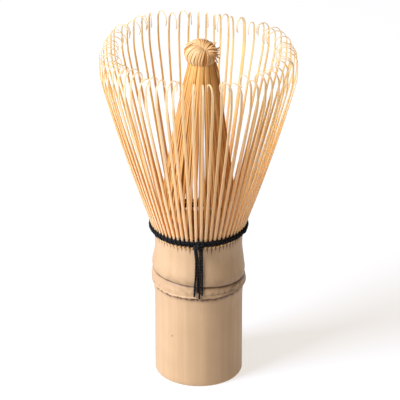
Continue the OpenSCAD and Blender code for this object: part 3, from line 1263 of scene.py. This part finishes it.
@dataclass
class TipKnot(Assembly):
    """The inner tines' ends, flared out, bent over into a round knot and tucked into its cleft."""

    slot = Slot.INNER_BAMBOO
    centre: tuple[float, float, float] = (0.55, 0.0, 102.75)
    reach: float = 4.62
    rise: float = 3.75
    swirl: tuple[float, float, float] = (0.22, -0.66, 0.72)
    cleft: tuple[float, float, float] = (0.81, -0.26, -0.53)
    cleft_reach: float = 0.38
    cleft_depth: float = 0.17
    width: float = 0.53
    thick: float = 0.34
    loose_ends: int = 13
    under_share: float = 0.4
    fibre_width: float = 0.16

    def surface(self, way: Vector, lift: float) -> Vector:
        """A point on the knot's rounded surface, which dips along the cleft.

        Args:
            way: direction from the middle, of length 1.
            lift: how far it stands off the surface, in millimetres.

        Returns:
            The point in metres.
        """
        tuck, run = Vector(self.swirl).normalized(), Vector(self.cleft).normalized()
        slide = max(-self.cleft_reach, min(self.cleft_reach, way.dot(run)))
        near = way.angle((tuck + run * slide).normalized())
        pit = 1.0 - self.cleft_depth * math.exp(-((near / 0.24) ** 2))
        flat = max(1e-6, math.hypot(way.x, way.y))
        full = flat**0.55 / flat if way.z < 0 else 1.0
        sag = (0.9 * way.x if way.x > 0 else 0.5 * way.x) * max(0.0, -way.z)
        size = (self.reach + lift) * pit * full
        tall = (self.rise + lift + sag) * pit
        return (Vector((way.x * size, way.y * size, way.z * tall)) + Vector(self.centre)) * MM

    def lay(
        self, ways: Sequence[Vector], lifts: Sequence[float], widths: Sequence[float], tone: float,
        skin: float,
    ) -> list[Ring]:
        """Sections of one flat strand laid along directions on the knot.

        Args:
            ways: directions from the knot's middle, of length 1.
            lifts: height above the surface at each, in millimetres.
            widths: width of the strand at each, in millimetres.
            tone: its tone, from 0 to 1.
            skin: how much of the culm's pale skin it shows, from 0 to 1.

        Returns:
            One section for each direction.
        """
        points = [self.surface(way, lift) for way, lift in zip(ways, lifts)]
        rings = []
        last = len(points) - 1
        for i, point in enumerate(points):
            ahead = (points[min(last, i + 1)] - points[max(0, i - 1)]).normalized()
            side = ahead.cross(ways[i]).normalized()
            ring = strip_ring(
                point, side.cross(ahead), side, widths[i], self.thick, 12 + i, tone, round_top=0.34
            )
            ring.skin = [skin * shown for shown in ring.skin]
            rings.append(ring)
        return rings

    def strand(self, azimuth: float, pick: random.Random) -> list[Ring]:
        """One bent-over tip: out from the neck, up its own side of the knot and into the cleft.

        Args:
            azimuth: where it leaves the neck.
            pick: source of its small differences.

        Returns:
            Its sections.
        """
        tuck, run = Vector(self.swirl).normalized(), Vector(self.cleft).normalized()
        flat = Vector((run.x, run.y, 0)).normalized()
        beside = around(azimuth)[0].dot(flat)
        stop = (tuck + run * (self.cleft_reach * 0.95 * beside + pick.uniform(-0.05, 0.05))).normalized()
        back = 0.5 + 0.5 * math.sin(azimuth)
        low, high = -64.0 + pick.uniform(-3, 3), mix(52.0, 78.0, back)
        under = pick.random() < self.under_share
        sway = pick.uniform(-0.05, 0.05)
        lift = (-0.1 if under else pick.uniform(0, 0.1)) + 0.14 * back
        steps = 18
        ways, lifts, widths = [], [], []
        for i in range(steps + 1):
            t = i / steps
            rise = math.radians(mix(low, high, t))
            here = azimuth + sway * math.sin(math.pi * t)
            level = math.cos(rise)
            up = Vector((math.cos(here) * level, math.sin(here) * level, math.sin(rise)))
            ways.append(up.slerp(stop, ease((t - 0.3) / 0.7)).normalized())
            lifts.append(lift * ease(t * 5) - 0.25 * ease((t - 0.85) / 0.15))
            widths.append(self.width * mix(1.0, 0.62, ease((t - 0.45) * 2)))
        # Strands that lie under get the deep tone and show less skin: painted shade where they lie lower
        # than their neighbours, on top of the random tone.
        tone = pick.uniform(0.6, 1.0) if under else pick.uniform(0.0, 0.5)
        return self.lay(ways, lifts, widths, tone, 0.2 if under else 0.5)

    def loose_end(self, pick: random.Random) -> list[Ring]:
        """One cut end that comes out of the cleft's far side and stands off a little.

        Args:
            pick: source of its small differences.

        Returns:
            Its sections.
        """
        tuck, run = Vector(self.swirl).normalized(), Vector(self.cleft).normalized()
        start = (tuck + run * pick.uniform(0.1, 0.5)).normalized()
        stop = Vector((1.0, pick.uniform(-0.75, 0.55), pick.uniform(-0.55, 0.75))).normalized()
        lift, steps = pick.uniform(0.5, 1.5), 9
        ways = [start.slerp(stop, i / steps).normalized() for i in range(steps + 1)]
        lifts = [0.1 + lift * (i / steps) ** 1.6 for i in range(steps + 1)]
        widths = [self.width * mix(0.7, 0.5, i / steps) for i in range(steps + 1)]
        return self.lay(ways, lifts, widths, pick.random(), 0.5)

    def flyaway(self, start: Vector, stop: Vector, lift: float) -> list[Ring]:
        """One thin fibre that has sprung off the knot.

        Args:
            start: direction of its free end from the knot's middle, of length 1.
            stop: direction of its root.
            lift: how far the free end stands off, in millimetres.

        Returns:
            Its sections.
        """
        steps = 12
        ways = [start.slerp(stop, i / steps).normalized() for i in range(steps + 1)]
        lifts = [lift * (1 - i / steps) ** 0.7 for i in range(steps + 1)]
        return self.lay(ways, lifts, [self.fibre_width] * (steps + 1), 0.1, 1.0)

    def build(self) -> None:
        """Lays every strand on a core, then the loose ends and two sprung fibres."""
        pick = random.Random(31)
        bm = start_mesh(STRIP_MARKS)
        for k in range(TINES):
            sweep(bm, self.strand(k * PITCH, pick))
        for _ in range(self.loose_ends):
            sweep(bm, self.loose_end(pick))
        crown = Vector((-0.1, -0.2, 1)).normalized()
        sweep(bm, self.flyaway(Vector((-0.85, -0.3, 0.35)).normalized(), crown, 1.0))
        sweep(bm, self.flyaway(Vector((-0.8, 0.1, 0.5)).normalized(), crown, 0.6))
        # The core stands for the bamboo below the strands, in the deepest tone: painted shade in the gaps
        # between them.
        core = bmesh.ops.create_uvsphere(bm, u_segments=24, v_segments=14, radius=1.0)
        tone = bm.verts.layers.float[Mark.TONE.value]
        for vert in core["verts"]:
            vert.co = self.surface(vert.co.normalized(), -0.3)
            vert[tone] = 1.0
        self.fix_piece("twisted_tips", bm, "tip_knot")


@dataclass
class Thread(Assembly):
    """The black thread: woven courses, a stitch in every gap, the tied knot and its loose ends."""

    slot = Slot.THREAD
    diameter: float = 0.68
    outer_r: float = 13.9
    inner_r: float = 12.2
    low_z: float = 47.35
    side_drop: float = 0.35
    stitch_z: float = 49.35
    stitch_diameter: float = 0.5
    # Points of one stitch: radius, and height from its top.
    stitch: tuple[tuple[float, float], ...] = (
        (12.3, -1.0), (12.9, -0.2), (13.6, 0.0), (14.2, -0.1), (14.55, -0.6), (14.5, -1.3),
        (14.2, -1.9), (13.7, -2.25), (13.2, -2.3),
    )
    knot_at: tuple[float, float, float] = (0.0, -15.0, 48.0)
    tail_top: float = 46.9
    tail_bend: float = 0.35
    tail_depth: float = 14.9
    tail_share: float = 0.95
    # Sideways place of each loose end at its top, its bend and its tip, and the tip's height.
    tail_sides: tuple[tuple[float, float, float], ...] = (
        (-1.08, -0.8, -1.28), (-0.66, -0.28, -0.3), (0.42, 0.4, 0.2), (0.95, 0.98, 0.98),
    )
    tail_ends: tuple[float, ...] = (31.0, 32.2, 30.3, 31.4)

    def course(self, radius: float, height: float, dip: float, steps: int = 384) -> list[Ring]:
        """One turn of thread that presses in between the tines.

        Args:
            radius: its radius over a tine, in millimetres.
            height: its height in millimetres.
            dip: how far it dips between two tines, in millimetres.
            steps: sections in the turn.

        Returns:
            Its sections, starting and ending inside the knot.
        """
        path = []
        for i in range(steps + 1):
            azimuth = FRONT + 2 * math.pi * i / steps
            sag = 0.5 + 0.5 * math.cos(TINES * azimuth)
            up = 0.07 * wave(azimuth, 0, 9, height) - self.side_drop * math.cos(azimuth) ** 2
            path.append(polar(radius - dip * sag, azimuth, height + up))
        return thread_rings(path, self.diameter, lay=1.7)

    def build_weave(self) -> None:
        """Lays the courses and the stitches between the tines."""
        bm = start_mesh(STRIP_MARKS)
        for i in range(3):
            height = self.low_z + 0.62 * i
            sweep(bm, self.course(self.outer_r + 0.36 * (height - self.low_z), height, 0.25))
        for i in range(2):
            sweep(bm, self.course(self.inner_r + 0.2 * i, self.low_z + 0.3 + 0.75 * i, -0.15, 256))
        pick = random.Random(41)
        for k in range(TINES):
            azimuth = k * PITCH
            top = self.stitch_z + pick.uniform(-0.2, 0.3) - self.side_drop * math.cos(azimuth) ** 2
            path = [polar(radius, azimuth, top + rise) for radius, rise in self.stitch]
            lean = pick.uniform(0.1, 0.3)
            _, across = around(azimuth)
            bent = [p + across * lean * (i - 4) / 4 * MM for i, p in enumerate(path)]
            sweep(bm, thread_rings(smooth_path(bent, 2), self.stitch_diameter, sides=6, lay=1.4))
        self.fix_piece("woven_thread", bm, "thread_weave", sharp=80)

    def build_knot(self) -> None:
        """Ties the knot at the front: two wraps across and one over them."""
        bm = start_mesh(STRIP_MARKS)
        middle = Vector(self.knot_at)
        for i in range(2):
            path = []
            for j in range(21):
                x, y = math.cos(2 * math.pi * j / 20), math.sin(2 * math.pi * j / 20)
                place = Vector((1.15 * x, -0.3 + 0.45 * y, 0.75 * i - 0.4 + 0.15 * x))
                path.append((middle + place) * MM)
            sweep(bm, thread_rings(path, self.diameter))
        path = []
        for j in range(17):
            x, y = math.cos(2 * math.pi * j / 16), math.sin(2 * math.pi * j / 16)
            path.append((middle + Vector((0.1 * x, -0.35 + 0.62 * x, 0.95 * y))) * MM)
        sweep(bm, thread_rings(path, self.diameter))
        self.fix_piece("tied_thread", bm, "thread_knot", sharp=80)

    def build_tails(self, culm: Culm) -> None:
        """Lays the four loose ends down the collar and over the node.

        Args:
            culm: the handle that they lie on.
        """
        steps, bend = 56, self.tail_bend
        for number, (side, end) in enumerate(zip(self.tail_sides, self.tail_ends), 1):
            bm = start_mesh(STRIP_MARKS)
            path = []
            for i in range(steps + 1):
                t = i / steps
                height = mix(self.tail_top, end, t)
                if t < bend:
                    x = mix(side[0], side[1], ease(t / bend))
                else:
                    x = mix(side[1], side[2], ease((t - bend) / (1 - bend)))
                x += 0.1 * noise.noise(Vector((number * 3.1, t * 4, 0)))
                lie = culm.node_radius(FRONT, height) + self.diameter / 2 + 0.06
                depth = mix(self.tail_depth, lie, ease(t * 4))
                path.append(Vector((x, -math.sqrt(depth * depth - x * x), height)) * MM)
            sweep(bm, thread_rings(path, self.diameter * self.tail_share))
            self.fix_piece(f"thread_end_{number}", bm, f"thread_tail_{number}", sharp=80)

    def build(self, culm: Culm) -> None:
        """Builds every stretch of the thread.

        Args:
            culm: the handle that it is tied round.
        """
        self.build_weave()
        self.build_knot()
        self.build_tails(culm)


def smooth_path(points: Sequence[Vector], cuts: int) -> list[Vector]:
    """Rounds a path by cutting its corners, keeping both ends.

    Args:
        points: the corners.
        cuts: how many times the corners are cut.

    Returns:
        The rounded path.
    """
    path = list(points)
    for _ in range(cuts):
        finer = [path[0]]
        for a, b in zip(path, path[1:]):
            finer += [a.lerp(b, 0.25), a.lerp(b, 0.75)]
        path = finer + [path[-1]]
    return path


@dataclass
class Studio:
    """Pale floor, soft lights and the camera. Lengths here are metres."""

    distance: float = 0.9
    elevation: float = 26.43
    orbit_z: float = 0.052
    aim: tuple[float, float, float] = (0.0004, 0.0, 0.0556)
    lens: float = 275.5
    lit_z: float = 0.055
    air: str = "#FFEBD0"
    air_strength: float = 0.12
    floor_half: float = 6.0

    def light(self, name: str, place: Vector, size: float, power: float, colour: str) -> None:
        """Hangs one soft light aimed at the whisk.

        Args:
            name: the light's name.
            place: where it hangs, in metres.
            size: side of its square face, in metres.
            power: power in watts.
            colour: its colour.
        """
        lamp = bpy.data.lights.new(name, "AREA")
        lamp.size = size
        lamp.energy = power
        lamp.color = linear(colour)[:3]
        holder = bpy.data.objects.new(name, lamp)
        holder.location = place
        holder.rotation_euler = (Vector((0, 0, self.lit_z)) - place).to_track_quat("-Z", "Y").to_euler()
        bpy.context.scene.collection.objects.link(holder)

    def build(self, floor_finish: bpy.types.Material) -> None:
        """Lays the floor and sets up the lights and the camera.

        Args:
            floor_finish: the floor's material.
        """
        bm = bmesh.new()
        bmesh.ops.create_grid(bm, x_segments=1, y_segments=1, size=self.floor_half)
        floor = make_piece("floor", bm)
        floor.data.materials.append(floor_finish)
        world = bpy.data.worlds.new("studio")
        world.use_nodes = True
        back = world.node_tree.nodes["Background"]
        back.inputs["Color"].default_value = linear(self.air)
        back.inputs["Strength"].default_value = self.air_strength
        bpy.context.scene.world = world
        bpy.context.scene.view_settings.view_transform = "Standard"
        self.light("key", Vector((-0.72, -0.39, 0.63)), 0.5, 25.2, "#E0EAFF")
        self.light("top", Vector((0.12, 0.1, 1.0)), 0.6, 4.0, "#FFF0DE")
        self.light("rim", Vector((0.62, 0.72, 0.2)), 0.2, 0.5, "#E6EEFF")
        lens = bpy.data.cameras.new("camera")
        lens.lens = self.lens
        lens.sensor_width = 36
        camera = bpy.data.objects.new("camera", lens)
        low = math.radians(self.elevation)
        away = Vector((0, -math.cos(low), math.sin(low)))
        camera.location = away * self.distance + Vector((0, 0, self.orbit_z))
        look = Vector(self.aim) - camera.location
        camera.rotation_euler = look.to_track_quat("-Z", "Y").to_euler()
        bpy.context.scene.collection.objects.link(camera)
        bpy.context.scene.camera = camera


def main() -> None:
    """Builds and dresses the whisk, then the studio."""
    logging.basicConfig(level=logging.INFO, format="%(message)s")
    skin = CulmSkin().build()
    split = SplitBamboo().build()
    inner_split = SplitBamboo(
        name="inner_split_bamboo", cut="#DDA862", cut_deep="#C4873E", glow=0.4, glow_mm=0.5
    ).build()
    knotted = SplitBamboo(
        name="knotted_bamboo", skin="#E2C69A", skin_deep="#D2A872", cut="#D6A05C", cut_deep="#B87A38",
        glow=0.25, glow_mm=0.3,
    ).build()
    wall = NodeWall().build()
    thread_finish = WaxedThread().build()

    culm = Culm()
    culm.build()
    culm.dress(skin)
    diaphragm = Diaphragm()
    diaphragm.build(culm)
    diaphragm.dress(wall)
    outer = OuterTines()
    outer.build()
    outer.dress(split)
    inner = InnerTines()
    inner.build()
    inner.dress(inner_split)
    knot = TipKnot()
    knot.build()
    knot.dress(knotted)
    thread = Thread()
    thread.build(culm)
    thread.dress(thread_finish)
    Studio().build(PaleFloor().build())


if __name__ == "__main__":
    main()
